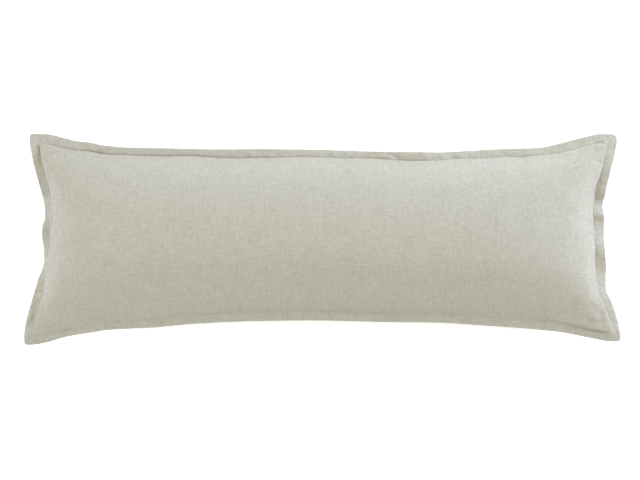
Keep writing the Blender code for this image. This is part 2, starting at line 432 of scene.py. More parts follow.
class Bench:
    """Adds shader nodes to one tree and joins them."""

    def __init__(self, tree: bpy.types.NodeTree) -> None:
        """Keeps the tree that the nodes go into."""
        self.tree = tree

    def node(self, kind: str, settings: dict[str, str] | None = None, **sockets: Feed) -> bpy.types.Node:
        """Adds a node.

        Args:
            kind: The node's type, without its ShaderNode prefix.
            settings: The node's own properties.
            **sockets: A value or another node's output for each input, by its name with
                underscores for spaces.

        Returns:
            The new node.
        """
        made = self.tree.nodes.new("ShaderNode" + kind)
        for name, value in (settings or {}).items():
            setattr(made, name, value)
        self.fill(made, **sockets)
        return made

    def fill(self, node: bpy.types.Node, **sockets: Feed) -> None:
        """Feeds a node's inputs.

        Args:
            node: The node.
            **sockets: As for a new node.
        """
        for name, value in sockets.items():
            self.feed(node.inputs[name.replace("_", " ")], value)

    def feed(self, socket: Socket, value: Feed) -> None:
        """Links an output to a socket, or sets the socket's own value.

        Args:
            socket: The socket that takes it.
            value: The output or the value.
        """
        if isinstance(value, Socket):
            self.tree.links.new(value, socket)
        else:
            socket.default_value = value

    def math(self, operation: str, *values: Feed) -> Socket:
        """Takes one arithmetic step.

        Args:
            operation: The step.
            *values: The numbers or outputs that it is taken on.

        Returns:
            The result.
        """
        made = self.node("Math", {"operation": operation})
        for socket, value in zip(made.inputs, values):
            self.feed(socket, value)
        return made.outputs[0]

    def ramp(
        self, value: Socket, low: float, high: float, to_low: float = 0.0, to_high: float = 1.0
    ) -> Socket:
        """Eases a value from one range into another.

        Args:
            value: The value.
            low: Where the first range starts.
            high: Where it ends.
            to_low: Where the second range starts.
            to_high: Where it ends.

        Returns:
            The eased value.
        """
        limits = {"From_Min": low, "From_Max": high, "To_Min": to_low, "To_Max": to_high}
        made = self.node("MapRange", {"interpolation_type": "SMOOTHSTEP"}, Value=value, **limits)
        return made.outputs[0]

    def scaled(self, vector: Socket, across: float, along: float) -> Socket:
        """Scales cloth coordinates.

        Args:
            vector: The coordinates, in metres.
            across: The size across the cloth that becomes one unit.
            along: The size up it that does.

        Returns:
            The scaled coordinates.
        """
        made = self.node("VectorMath", {"operation": "MULTIPLY"})
        self.feed(made.inputs[0], vector)
        made.inputs[1].default_value = (1 / across, 1 / along, 1.0)
        return made.outputs[0]

    def noise(self, vector: Socket, detail: float = 2.0, roughness: float = 0.5) -> Socket:
        """Soft noise of about one lump to a unit.

        Args:
            vector: Where it is read.
            detail: How many finer layers it has.
            roughness: How strong they are.

        Returns:
            The noise, from zero to one.
        """
        look = {"Scale": 1.0, "Detail": detail, "Roughness": roughness}
        made = self.node("TexNoise", {"noise_dimensions": "2D"}, Vector=vector, **look)
        return made.outputs["Fac"]

    def blend(self, kind: str, factor: Feed, first: Feed, second: Feed) -> Socket:
        """Blends two colours.

        Args:
            kind: How they blend.
            factor: Share of the second.
            first: The first colour.
            second: The second colour.

        Returns:
            The blended colour.
        """
        made = self.node("Mix", {"data_type": "RGBA", "blend_type": kind})
        self.feed(made.inputs["Factor"], factor)
        self.feed(made.inputs[6], first)
        self.feed(made.inputs[7], second)
        return made.outputs[2]


def new_material(name: str) -> tuple[bpy.types.Material, Bench, bpy.types.Node]:
    """Makes a material.

    Args:
        name: Its name.

    Returns:
        The material, the bench for its nodes, and its shader.
    """
    made = bpy.data.materials.new(name)
    made.use_nodes = True
    return made, Bench(made.node_tree), made.node_tree.nodes["Principled BSDF"]


@dataclass(frozen=True)
class Linen:
    """Plain-woven linen of uneven yarn.

    Args:
        pale: Colour of the palest yarn.
        deep: Colour of the deepest yarn.
        pitch: Distance from yarn to yarn, across the cloth and up it.
        streak: Width and length of the streaks that thicker yarn makes.
        fleck: Width and length of the yarn's short flecks.
        slub: Width and length of single slubs.
        cloud: Size of the cloth's broad, faint unevenness.
        streaked: How strongly the streaks colour the cloth.
        flecked: How strongly the flecks do.
        clouded: How strongly the broad unevenness does.
        uneven: Relief of the thick and thin yarn, as a share of the weave's own.
        relief: Height of the weave's relief.
        roughness: The cloth's middle roughness.
        sheen: How strong its sheen is.
        sheen_roughness: How soft its sheen is.
        roughness_spread: How far the deep yarn is rougher, and the pale yarn smoother.
        tones: The tones between which the roughness falls.
        specular: How strongly it mirrors.
        diffuse_roughness: How rough its matt part is.
        weave_painted_shade: How strongly painted shade and light follow the weave's relief: its hollows
            are painted deeper and its yarn tops paler.
        weave_middle: Height of the weave that the painted shade leaves as it is: lower parts are painted
            deeper, higher ones paler.
        slubbed: The noise between which a slub rises, and how strongly it colours the cloth.
        wander: Width and length of the yarn's wandering.
        wanders: How far it wanders.
        yarn_round: How far the weave falls across a yarn.
        yarn_dips: How far a yarn dips along it.
    """

    pale: Triple = (0.585, 0.573, 0.508)
    deep: Triple = (0.405, 0.395, 0.334)
    pitch: Pair = (0.62 * MM, 0.66 * MM)
    streak: Pair = (2.8 * MM, 26 * MM)
    fleck: Pair = (4.4 * MM, 9 * MM)
    slub: Pair = (1.2 * MM, 10 * MM)
    cloud: float = 30 * MM
    streaked: float = 0.45
    flecked: float = 0.25
    clouded: float = 0.2
    uneven: float = 0.3
    relief: float = 0.22 * MM
    roughness: float = 0.88
    sheen: float = 0.25
    sheen_roughness: float = 0.45
    roughness_spread: float = 0.06
    tones: Pair = (0.2, 0.8)
    specular: float = 0.25
    diffuse_roughness: float = 0.6
    weave_painted_shade: float = 0.35
    weave_middle: float = 0.6
    slubbed: Triple = (0.62, 0.8, 0.25)
    wander: Pair = (4 * MM, 18 * MM)
    wanders: float = 0.9 * MM
    yarn_round: float = 3.2
    yarn_dips: float = 1.2

    def material(self, name: str) -> bpy.types.Material:
        """Makes the linen's material.

        Args:
            name: The material's name.

        Returns:
            A material that reads the cloth's own coordinates, in metres.
        """
        made, bench, shader = new_material(name)
        cloth = bench.node("UVMap", {"uv_map": WEAVE_MAP}).outputs[0]
        upright = self.yarns(bench, cloth, runs_up=True)
        level = self.yarns(bench, cloth, runs_up=False)
        weave = self.weave(bench, cloth)
        cloud = bench.noise(bench.scaled(cloth, self.cloud, self.cloud), detail=3.0)
        thick = bench.math("ADD", upright, level)
        tone = bench.math("MULTIPLY_ADD", bench.math("SUBTRACT", cloud, 0.5), self.clouded, 0.5)
        tone = bench.math("ADD", tone, thick)
        # Painted shade and light: the weave's hollows are painted deeper and its yarn tops paler, over
        # and above the bump that shades them.
        shaded = bench.math("SUBTRACT", weave, self.weave_middle)
        tone = bench.math("MULTIPLY_ADD", shaded, self.weave_painted_shade, tone)
        colour = bench.blend("MIX", tone, (*self.deep, 1), (*self.pale, 1))
        height = bench.math("MULTIPLY_ADD", thick, self.uneven, weave)
        bump = bench.node("Bump", Height=height, Strength=1.0, Distance=self.relief)
        rough, smooth = self.roughness + self.roughness_spread, self.roughness - self.roughness_spread
        bench.fill(
            shader,
            Base_Color=colour,
            Normal=bump.outputs[0],
            Roughness=bench.ramp(tone, *self.tones, rough, smooth),
            Sheen_Weight=self.sheen,
            Sheen_Roughness=self.sheen_roughness,
            Specular_IOR_Level=self.specular,
            Diffuse_Roughness=self.diffuse_roughness,
        )
        return made

    def yarns(self, bench: Bench, cloth: Socket, runs_up: bool) -> Socket:
        """The unevenness of one set of yarn: long streaks, short flecks and single slubs.

        Args:
            bench: Where the nodes go.
            cloth: The cloth's coordinates.
            runs_up: Whether the yarn runs up the cloth, so that its streaks are narrow across it.

        Returns:
            How much thicker and paler the yarn is than the middle one, about zero.
        """
        parts = []
        marks = ((self.streak, self.streaked, 1.0), (self.fleck, self.flecked, 0.0))
        for size, share, detail in marks:
            lumps = bench.noise(bench.scaled(cloth, *(size if runs_up else size[::-1])), detail)
            centred = bench.math("SUBTRACT", lumps, 0.5)
            parts.append(bench.math("MULTIPLY", centred, share))
        size = self.slub if runs_up else self.slub[::-1]
        low, high, strength = self.slubbed
        slubs = bench.ramp(bench.noise(bench.scaled(cloth, *size), 1.0), low, high, to_high=strength)
        return bench.math("ADD", bench.math("ADD", *parts), slubs)

    def weave(self, bench: Bench, cloth: Socket) -> Socket:
        """The plain weave's own relief, yarn over yarn.

        Args:
            bench: Where the nodes go.
            cloth: The cloth's coordinates.

        Returns:
            Its height, one on top of a yarn.
        """
        wander = bench.noise(bench.scaled(cloth, *self.wander), detail=1.0)
        place = bench.node("SeparateXYZ", Vector=cloth).outputs
        yarns, offsets = [], []
        for axis, pitch in enumerate(self.pitch):
            shifted = bench.math("MULTIPLY_ADD", wander, self.wanders, place[axis])
            turns = bench.math("DIVIDE", shifted, pitch)
            yarns.append(bench.math("FLOOR", turns))
            offsets.append(bench.math("SUBTRACT", bench.math("FRACT", turns), 0.5))
        over = bench.math("PINGPONG", bench.math("ADD", *yarns), 1.0)
        squares = [bench.math("MULTIPLY", offset, offset) for offset in offsets]
        gap = bench.math("SUBTRACT", squares[1], squares[0])
        cross = bench.math("MULTIPLY_ADD", over, gap, squares[0])
        along = bench.math("SUBTRACT", bench.math("ADD", *squares), cross)
        round_yarn = bench.math("MULTIPLY_ADD", cross, -self.yarn_round, 1.0)
        return bench.math("MULTIPLY_ADD", along, -self.yarn_dips, round_yarn)


@dataclass(frozen=True)
class Thread:
    """Matching sewing thread, twisted, with a faint sheen.

    Args:
        colour: Its colour.
        shade: Painted shade between the plies: how deep the colour is painted in the grooves between
            them, as a share of it.
        bands: Scale of the texture whose bands stand for the plies.
        relief: Height of the plies.
        relieved: How strongly that relief shows.
        roughness: Its roughness.
        sheen: How strong its sheen is.
    """

    colour: Triple = (0.55, 0.535, 0.45)
    shade: float = 0.8
    bands: float = 100.0
    relief: float = 0.05 * MM
    relieved: float = 0.5
    roughness: float = 0.6
    sheen: float = 0.15

    def material(self, name: str) -> bpy.types.Material:
        """Makes the thread's material.

        Args:
            name: The material's name.

        Returns:
            The material.
        """
        made, bench, shader = new_material(name)
        place = bench.node("TexCoord").outputs["Object"]
        ply = bench.node("TexWave", {"bands_direction": "DIAGONAL"}, Vector=place, Scale=self.bands)
        plies = ply.outputs["Fac"]
        # Painted shade: the colour is painted deeper in the grooves between the plies, where shade
        # falls.
        deep = tuple(self.shade * part for part in self.colour)
        colour = bench.blend("MIX", plies, (*deep, 1), (*self.colour, 1))
        bump = bench.node("Bump", Height=plies, Strength=self.relieved, Distance=self.relief)
        bench.fill(
            shader,
            Base_Color=colour,
            Normal=bump.outputs[0],
            Roughness=self.roughness,
            Sheen_Weight=self.sheen,
        )
        return made


def new_piece(name: str, vertices: Array, faces: Array, cloth: Array | None = None) -> bpy.types.Object:
    """Makes an object of a mesh.

    Args:
        name: The object's name.
        vertices: Its points.
        faces: Its faces, as rows of indices.
        cloth: Where each point lies on the flat cloth, in metres, if it is woven.

    Returns:
        The object, shaded smooth.
    """
    data = bpy.data.meshes.new(name)
    data.from_pydata(vertices.tolist(), [], faces.tolist())
    data.update()
    data.shade_smooth()
    if cloth is not None:
        layer = data.uv_layers.new(name=WEAVE_MAP)
        corners = np.empty(len(data.loops), np.int32)
        data.loops.foreach_get("vertex_index", corners)
        layer.uv.foreach_set("vector", cloth[corners].astype(np.float32).ravel())
    made = bpy.data.objects.new(name, data)
    bpy.context.scene.collection.objects.link(made)
    return made


def points_of(thing: bpy.types.Object) -> Array:
    """Reads an object's mesh as its modifiers leave it.

    Args:
        thing: The object.

    Returns:
        The mesh's points.
    """
    graph = bpy.context.evaluated_depsgraph_get()
    shown = thing.evaluated_get(graph)
    data = shown.to_mesh()
    found = np.empty(len(data.vertices) * 3, np.float32)
    data.vertices.foreach_get("co", found)
    shown.to_mesh_clear()
    return found.reshape(-1, 3).astype(float)


@dataclass(frozen=True)
class Settling:
    """How the cover's cloth settles round its filling, with its seam held where it lies.

    Args:
        steps: Steps of the settling cloth along a panel and across it.
        frames: How many frames it settles for.
        quality: Steps of the simulation in each frame.
        spare: How much longer the cloth is than the shape that it starts from.
        pressure: How hard the filling pushes.
        mass: Mass of each point of the cloth.
        stretch: How stiff the cloth is when it is pulled or pressed.
        shear: How stiff it is when it is slanted.
        bending: How stiff it is when it is bent.
        damping: How soon its own swinging dies out.
        air: How strongly the air slows it.
        most_moved: The furthest that any point is let move.
    """

    steps: tuple[int, int] = (140, 48)
    frames: int = 30
    quality: int = 6
    spare: float = 0.004
    pressure: float = 12.0
    mass: float = 0.02
    stretch: float = 40.0
    shear: float = 10.0
    bending: float = 1.5
    damping: float = 5.0
    air: float = 1.0
    most_moved: float = 14 * MM

    def settled(self, points: Array, faces: Array, held: Array) -> Array:
        """Lets the cloth settle.

        Args:
            points: The filled shape.
            faces: Its faces.
            held: The points along the seam.

        Returns:
            How far each point moves.
        """
        cloth = new_piece("settling", points, faces)
        seam = cloth.vertex_groups.new(name="seam")
        seam.add(held.tolist(), 1.0, "REPLACE")
        maker = cloth.modifiers.new("settling", "CLOTH")
        how = maker.settings
        how.quality = self.quality
        how.mass = self.mass
        how.tension_stiffness = how.compression_stiffness = self.stretch
        how.shear_stiffness = self.shear
        how.bending_stiffness = self.bending
        how.tension_damping = how.compression_damping = how.shear_damping = self.damping
        how.air_damping = self.air
        how.shrink_min = -self.spare
        how.use_pressure = True
        how.uniform_pressure_force = self.pressure
        how.effector_weights.gravity = 0
        how.vertex_group_mass = seam.name
        maker.collision_settings.use_collision = False
        maker.collision_settings.use_self_collision = False
        maker.point_cache.frame_end = self.frames
        for number in range(1, self.frames + 1):
            bpy.context.scene.frame_set(number)
        moved = points_of(cloth) - points
        data = cloth.data
        bpy.data.objects.remove(cloth)
        bpy.data.meshes.remove(data)
        bpy.context.scene.frame_set(1)
        far = np.linalg.norm(moved, axis=1, keepdims=True)
        LOG.info("cloth settled: moved %.1f mm, at most %.1f mm", far.mean() / MM, far.max() / MM)
        return moved * np.minimum(1, self.most_moved / np.maximum(far, 1e-9))


def resampled(values: Array, places: Array, axis: int) -> Array:
    """Reads a grid at other places, on a smooth curve through its values.

    Args:
        values: The grid, even from minus one to one along the axis.
        places: Where to read it, from minus one to one.
        axis: The grid's axis that the places lie along.

    Returns:
        The grid with that axis read at the places.
    """
    values = np.moveaxis(values, axis, 0)
    last = len(values) - 1
    at = (places + 1) / 2 * last
    k = np.clip(np.floor(at).astype(int), 0, last - 1)
    t = (at - k).reshape(-1, *[1] * (values.ndim - 1))
    here, there = values[k], values[k + 1]
    before, after = values[np.maximum(k - 1, 0)], values[np.minimum(k + 2, last)]
    bend = 2 * before - 5 * here + 4 * there - after
    twist = 3 * (here - there) + after - before
    smooth = here + 0.5 * t * (there - before + t * (bend + t * twist))
    return np.moveaxis(smooth, 0, axis)


@dataclass(frozen=True)
class Lip:
    """How the body swells beside one side's seam, where the filling pushes the cloth out over it.

    Args:
        rise: Height that it gains there, over and above the crown.
        leans: How far the swelling leans out over the border.
        reach: How soon it gains its height.
        lean_reach: How far in from the seam it leans most.
    """

    rise: float
    leans: float
    reach: float = 2 * MM
    lean_reach: float = 2.6 * MM

    def share(self, away: Array) -> Array:
        """Share of the rise, so far from the seam."""
        return 1 - np.exp(-away / self.reach)

    def lean(self, away: Array) -> Array:
        """How far the swelling leans out, so far from the seam."""
        return self.leans * away / self.lean_reach * np.exp(1 - away / self.lean_reach)


LIPS = dict.fromkeys(Side, Lip(rise=3.5 * MM, leans=2.6 * MM))
LIPS[Side.BOTTOM] = Lip(rise=2 * MM, leans=0.0, reach=6 * MM)


@dataclass
class Cover:
    """The filled body: a front and a back panel sewn together, settled round their filling.

    Args:
        outline: The pillow's outline.
        crown: Rise of the front over the seam.
        underside: Fall of the back under the seam, had nothing pressed it flat.
        seam_angle: Slope of the cloth where it leaves the upper long seam.
        flank: Shares of the lower half's width where its fall begins, and over which it steepens.
        end_power: The higher it is, the longer the crown stays full towards the ends.
        end_round: The lower it is, the steeper the crown falls to the ends.
        rim: Height of the seam's own edge, over and under its middle.
        rest_blend: Height from which the back is eased onto the surface under it.
        panel: Length and width of a panel's cloth between its seams.
        arc_share: Half width that the crown's arc is measured over, as a share of the outline's.
        fine_step: Mesh step beside the seam, and in the middle of a panel.
        fine_zone: How soon the step widens away from the seam.
        settling: How its cloth settles.
        gathered: How far in from the seam the cloth is let gather as it settles.
        kept: Share of the settling that is kept in the middle, where the filling holds it smooth.
        lips: How the body swells beside each side's seam.
        lower_full: Where along the lower side its lip turns into the right side's, and over how far.
        creases: Soft troughs and ridges in the front.
        crease_fade: How soon these gain their depth away from the seam.
        side_gathers: Length and height of the gathers along the long seams.
        end_gathers: Length and height of those along the short ones.
        gather_zone: How far from the seam the gathers are full, and how far they reach.
    """

    outline: Outline
    crown: float
    underside: float = 94 * MM
    seam_angle: float = math.radians(68)
    flank: Pair = (0.1, 0.8)
    end_power: float = 5.0
    end_round: float = 0.62
    rim: float = 1.0 * MM
    rest_blend: float = 9 * MM
    panel: Pair = (984 * MM, 326 * MM)
    arc_share: float = 0.75
    fine_step: Pair = (0.8 * MM, 3.2 * MM)
    fine_zone: float = 9 * MM
    settling: Settling = Settling()
    gathered: float = 110 * MM
    kept: float = 0.3
    lips: dict[Side, Lip] = field(default_factory=lambda: LIPS)
    lower_full: Pair = (0.72, 0.17)
    creases: tuple[Crease, ...] = CREASES
    crease_fade: float = 3.0
    side_gathers: Pair = (19 * MM, 0.5 * MM)
    end_gathers: Pair = (16 * MM, 0.55 * MM)
    gather_zone: Pair = (4 * MM, 30 * MM)

    def across(self, b: Array) -> Array:
        """The crown's profile across the pillow.

        Args:
            b: Places across, from minus one to one.

        Returns:
            Share of the crown at each.
        """
        edge = math.cos(self.seam_angle)
        upper = (np.sqrt(1 - (math.sin(self.seam_angle) * b) ** 2) - edge) / (1 - edge)
        start, bend = self.flank
        out = np.maximum(-b - start, 0) / bend
        fall = np.where(out < 1, out**3 - 0.5 * out**4, out - 0.5) * bend
        return np.where(b < 0, 1 - fall / (1 - start - bend / 2), upper)

    def along(self, a: Array) -> Array:
        """Share of the crown at places along, from minus one to one."""
        return np.maximum(1 - np.abs(a) ** self.end_power, 0.0) ** self.end_round

    def even_cloth(
        self, profile: Callable[[Array], Array], half_span: float, cloth: Array
    ) -> Array:
        """Where shares of the cloth over a profile lie in plan.

        Args:
            profile: Share of the crown at each place.
            half_span: Half the distance in plan.
            cloth: Shares of the cloth, from minus one to one.

        Returns:
            Places from minus one to one.
        """
        fine = np.sin(np.linspace(-math.pi / 2, math.pi / 2, FINE_POINTS))
        height = self.crown * profile(fine)
        run = np.concatenate([[0], np.cumsum(np.hypot(np.diff(fine) * half_span, np.diff(height)))])
        return np.interp(cloth, 2 * run / run[-1] - 1, fine)

    def plan(self, u: Array, v: Array) -> tuple[Array, Array, Array]:
        """Where shares of the panel lie in plan, blended from the four seam sides.

        Args:
            u: Shares along the panel's cloth, from minus one to one.
            v: Shares across it.

        Returns:
            The grid's points, and its places along and across from minus one to one.
        """
        arced_a = self.even_cloth(self.along, self.outline.corner[0], u)
        arced_b = self.even_cloth(self.across, self.outline.corner[1] * self.arc_share, v)
        a = u[:, None] + (arced_a - u)[:, None] * self.across(v)[None, :]
        b = v[None, :] + (arced_b - v)[None, :] * self.along(u)[:, None]
        s, t = (a[..., None] + 1) / 2, (b[..., None] + 1) / 2
        seam = self.outline.seam
        bottom, top = (seam(side, s[..., 0]) for side in (Side.BOTTOM, Side.TOP))
        left, right = (seam(side, t[..., 0]) for side in (Side.LEFT, Side.RIGHT))
        ends = {side: seam(side, np.array([0.0, 1.0])) for side in (Side.BOTTOM, Side.TOP)}
        sides = (1 - t) * bottom + t * top + (1 - s) * left + s * right
        near = (1 - s) * ends[Side.BOTTOM][0] + s * ends[Side.BOTTOM][1]
        far = (1 - s) * ends[Side.TOP][0] + s * ends[Side.TOP][1]
        return sides - (1 - t) * near - t * far, a, b

    def pressed(self, height: Array) -> Array:
        """Eases the back onto the surface under it.

        Args:
            height: Its heights before that.

        Returns:
            Its heights, none of them below the surface.
        """
        blend = self.rest_blend
        eased = (height + blend) ** 2 / (4 * blend)
        return np.where(height >= blend, height, np.where(height <= -blend, 0.0, eased))

    def lipped(self, plan: Array, a: Array, b: Array) -> tuple[Array, Array]:
        """How the body swells beside the seam.

        Args:
            plan: The grid's points in plan.
            a: Its places along, from minus one to one.
            b: Its places across.

        Returns:
            How far each point moves in plan, and how far it rises.
        """
        half_wide = (plan[:, -1, 1] - plan[:, 0, 1])[:, None] / 2
        half_long = (plan[-1, :, 0] - plan[0, :, 0])[None, :] / 2
        from_sides, from_ends = half_wide * (1 - np.abs(b)), half_long * (1 - np.abs(a))
        lower, right, upper, left = (self.lips[side] for side in Side)
        full = ease((a - self.lower_full[0]) / self.lower_full[1])
        low_share = lower.share(from_sides) * (1 - full) + right.share(from_sides) * full
        low_lean = lower.lean(from_sides) * (1 - full) + right.lean(from_sides) * full
        share_y = np.where(b < 0, low_share, upper.share(from_sides))
        share_x = np.where(a < 0, left.share(from_ends), right.share(from_ends))
        lean_y = np.where(b < 0, -low_lean, upper.lean(from_sides)) * share_x
        lean_x = np.where(a < 0, -left.lean(from_ends), right.lean(from_ends)) * share_y
        rise = upper.rise + (lower.rise - upper.rise) * ease(0.5 - b)
        return np.stack([lean_x, lean_y], -1), rise * share_x * share_y

    def filled(self, u: Array, v: Array, with_lip: bool) -> tuple[Array, Array]:
        """The filled shape before it settles.

        Args:
            u: Shares along the panels' cloth, from minus one to one.
            v: Shares across it.
            with_lip: Whether it swells beside the seam.

        Returns:
            The grids of the front's and of the back's points.
        """
        plan, a, b = self.plan(u, v)
        swell = self.along(a) * self.across(b)
        seam = self.outline.seam_height(plan)
        creased = crease_depth(self.creases, plan) * np.minimum(1, self.crease_fade * swell)
        if with_lip:
            lean, rise = self.lipped(plan, a, b)
            plan = plan + lean
        else:
            rise = np.zeros_like(swell)
        front = seam + self.rim + rise + (self.crown - rise) * swell - creased
        back = seam - self.rim - rise - (self.underside - rise) * swell
        return np.dstack([plan, front]), np.dstack([plan, back])

    def cut(self, u: Array, v: Array) -> Array:
        """Points on the flat cut panel at shares of its cloth."""
        x, y = np.meshgrid(u * self.panel[0] / 2, v * self.panel[1] / 2, indexing="ij")
        return np.stack([x, y], -1)

    def faces(self, columns: int, rows: int) -> tuple[Array, Array]:
        """The faces of both panels and of the narrow rim between them.

        Args:
            columns: Points along a panel.
            rows: Points across it.

        Returns:
            The faces, and the points along the seam.
        """
        index = np.arange(columns * rows).reshape(columns, rows)
        quads = np.stack([index[:-1, :-1], index[1:, :-1], index[1:, 1:], index[:-1, 1:]], -1)
        quads = quads.reshape(-1, 4)
        loop = np.concatenate([index[:-1, 0], index[-1, :-1], index[:0:-1, -1], index[0, :0:-1]])
        after = np.roll(loop, -1)
        back = columns * rows
        rim = np.stack([loop, loop + back, after + back, after], -1)
        faces = np.concatenate([quads, quads[:, ::-1] + back, rim])
        return faces, np.concatenate([loop, loop + back])

    def movement(self, u: Array, v: Array) -> tuple[Array, Array]:
        """How the cloth moves as it settles, read at shares of the panels' cloth.

        Args:
            u: Shares along the panels' cloth, from minus one to one.
            v: Shares across it.

        Returns:
            The movements of the front and of the back.
        """
        columns, rows = (steps + 1 for steps in self.settling.steps)
        sides = self.filled(np.linspace(-1, 1, columns), np.linspace(-1, 1, rows), False)
        points = np.concatenate([side.reshape(-1, 3) for side in sides])
        faces, seam = self.faces(columns, rows)
        moved = self.settling.settled(points, faces, seam).reshape(2, columns, rows, 3)
        front, back = (resampled(resampled(part, u, 0), v, 1) for part in moved)
        away_x = (1 - np.abs(u))[:, None] * self.panel[0] / 2
        away_y = (1 - np.abs(v))[None, :] * self.panel[1] / 2
        near = 1 - ease(away_x / self.gathered) * ease(away_y / self.gathered)
        keep = (self.kept + (1 - self.kept) * near)[..., None]
        return front * keep, back * keep

    def crowded(self, length: float) -> Array:
        """Spreads the mesh along a cloth, closer together towards its two seams.

        Args:
            length: The cloth's length from seam to seam.

        Returns:
            Shares of it, from minus one to one.
        """
        finest, widest = self.fine_step
        fine = np.linspace(0, length, 2 * FINE_POINTS - 1)
        away = np.minimum(fine, length - fine)
        step = finest + (widest - finest) * (1 - np.exp(-away / self.fine_zone))
        count = np.concatenate([[0], np.cumsum(np.diff(fine) / step[1:])])
        shares = np.linspace(0, count[-1], int(round(count[-1])) + 1)
        return 2 * np.interp(shares, count, fine) / length - 1

    def puckers(self, cut: Array, seed: int) -> Array:
        """Small gathers where the cloth meets the stitching, fading inwards from the seam.

        Args:
            cut: Points on the flat cut panel.
            seed: What the gathers' sizes are drawn from.

        Returns:
            How far each point is lifted.
        """
        x, y = cut[..., 0], cut[..., 1]
        from_ends, from_sides = self.panel[0] / 2 - np.abs(x), self.panel[1] / 2 - np.abs(y)
        other_side = 0.7
        lines = (
            (from_sides, x + other_side * np.sign(y), Unevenness(seed, *self.side_gathers)),
            (from_ends, y + other_side * np.sign(x), Unevenness(seed + 1, *self.end_gathers)),
        )
        full, reach = self.gather_zone
        lift = np.zeros(x.shape)
        for away, place, waves in lines:
            lift += waves.at(place) * ease(away / full) * ease(1 - away / reach)
        return lift

    def build(self, finish: Linen) -> bpy.types.Object:
        """Makes the settled cover.

        Args:
            finish: The cloth that it is made of.

        Returns:
            The cover, standing for the filled body.
        """
        u, v = (self.crowded(length) for length in self.panel)
        front, back = self.filled(u, v, True)
        front_moved, back_moved = self.movement(u, v)
        front, back = front + front_moved, back + back_moved
        cut = self.cut(u, v)
        front[..., 2] += self.puckers(cut, seed=3)
        back[..., 2] = self.pressed(back[..., 2] - self.puckers(cut, seed=8))
        points = np.concatenate([front.reshape(-1, 3), back.reshape(-1, 3)])
        faces, _ = self.faces(len(u), len(v))
        cloth = np.concatenate([cut.reshape(-1, 2), cut.reshape(-1, 2) + (BACK_CLOTH, 0.0)])
        made = new_piece("pillow_cover", points, faces, cloth)
        made.data.materials.append(finish.material("cover_linen"))
        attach(made, "root")
        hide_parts("cushion_body")
        return made


def rounded(near: Array, radius: Array | float) -> tuple[Array, Array]:
    """Rounds a corner of the border, up to the middle of its arc.

    Args:
        near: How far points lie from the corner along one side.
        radius: The corner's radius.

    Returns:
        How far they lie from it on the arc's half, and how far the arc turns them in.
    """
    near = np.maximum(near, radius * (1 - math.sqrt(0.5)))
    turn = np.maximum(radius - near, 0)
    return near, radius - np.sqrt(radius**2 - turn**2)


